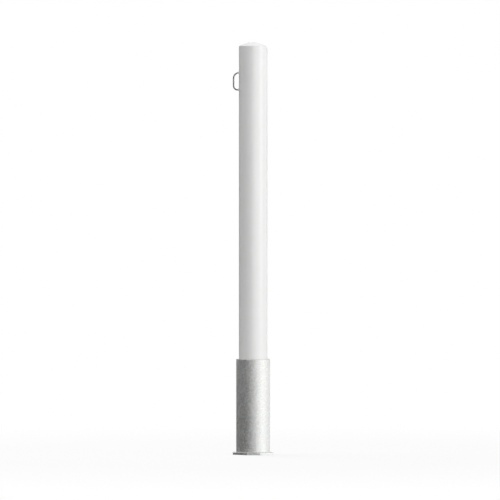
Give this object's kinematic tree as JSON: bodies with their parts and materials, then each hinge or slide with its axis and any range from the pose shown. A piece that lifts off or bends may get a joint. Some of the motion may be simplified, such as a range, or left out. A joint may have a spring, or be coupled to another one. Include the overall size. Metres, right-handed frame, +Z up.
{
  "type": "removable bollard",
  "caption": "Round steel post with a domed cap and a side wire loop for a chain, standing loose in a ground sleeve with a cut-cornered base plate.",
  "frame": {"origin": "centre of the base plate's underside, on the axis of the post and the sleeve", "axes": "+Z up along the post, -X towards the wire loop, -Y towards the viewer, with one cut corner of the base plate facing -Y"},
  "size_m": [0.1088, 0.1088, 1.106],
  "materials": {
    "white_paint": "satin",
    "galvanised_steel": "satin",
    "stainless_wire": "satin"
  },
  "bodies": {
    "sleeve": {"sleeve_tube": "galvanised_steel", "base_plate": "galvanised_steel", "base_weld": "galvanised_steel"},
    "post": {"post_tube": "white_paint", "post_cap": "white_paint", "chain_loop": "stainless_wire", "upper_loop_weld": "white_paint", "lower_loop_weld": "white_paint"}
  },
  "joints": [
    {"name": "post_lift", "type": "slide", "parent": "sleeve", "child": "post", "axis": [0, 0, 1], "range_m": [0, 0.3]}
  ]
}
